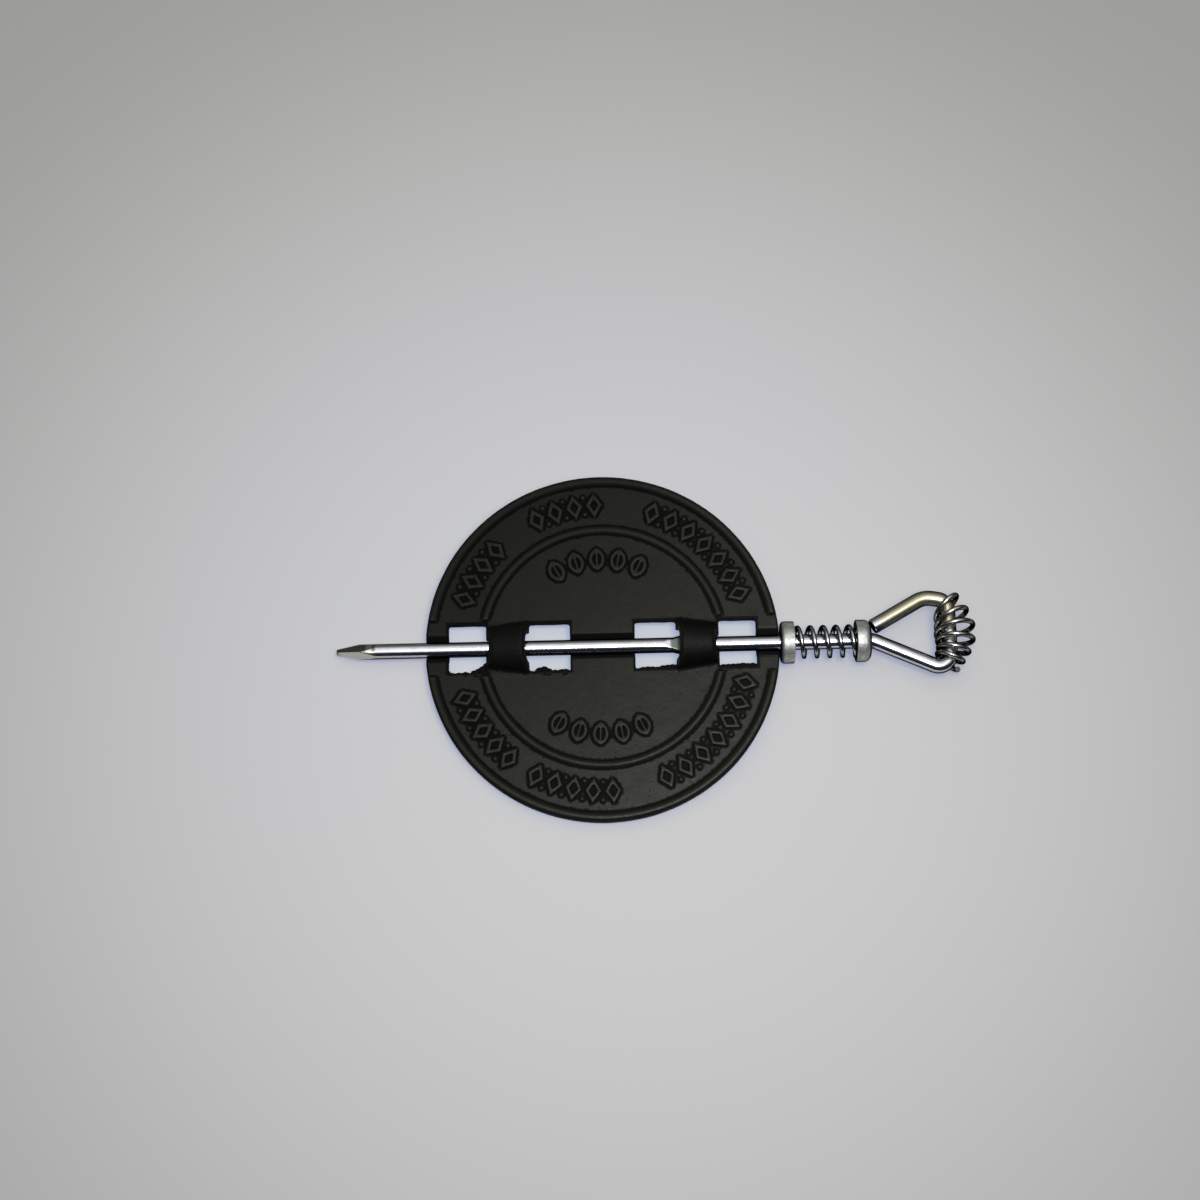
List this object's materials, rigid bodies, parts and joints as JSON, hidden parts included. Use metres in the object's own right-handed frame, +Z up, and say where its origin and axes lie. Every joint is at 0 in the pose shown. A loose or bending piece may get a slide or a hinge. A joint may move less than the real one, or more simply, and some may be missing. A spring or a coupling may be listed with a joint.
{
  "type": "stovepipe damper",
  "caption": "Round cast iron butterfly damper plate with windows and straps, on a pointed steel rod with a sprung neck and a looped, coil-wrapped handle.",
  "frame": {"origin": "centre of the plate, on the rod's axis", "axes": "+Z up through the plate's face with the straps, +X along the rod towards the handle, +Y across the rod"},
  "size_m": [0.264, 0.146, 0.0191],
  "materials": {
    "plate_iron": "black, fine sand cast texture",
    "rod_steel": "bright zinc plated",
    "coil_steel": "bright plated wire",
    "cup_steel": "zinc plated, dull",
    "spring_steel": "bright plated wire"
  },
  "bodies": {
    "plate": {"damper_plate": "plate_iron"},
    "pipe_cup": {"pipe_cup": "cup_steel", "tension_spring": "spring_steel"},
    "handle_cup": {"handle_cup": "cup_steel"},
    "rod": {"handle_rod": "rod_steel", "grip_coil": "coil_steel"}
  },
  "joints": [
    {"name": "cup_turn", "type": "hinge", "parent": "plate", "child": "pipe_cup", "pos_m": [0.0733, 0, 0], "axis": [1, 0, 0], "continuous": true},
    {"name": "rod_push", "type": "slide", "parent": "pipe_cup", "child": "handle_cup", "axis": [-1, 0, 0], "range_m": [0, 0.01], "stiffness_N_per_m": 16000, "deforming": ["tension_spring"]},
    {"name": "rod_turn", "type": "hinge", "parent": "handle_cup", "child": "rod", "pos_m": [0.1106, 0, 0], "axis": [1, 0, 0], "continuous": true}
  ]
}
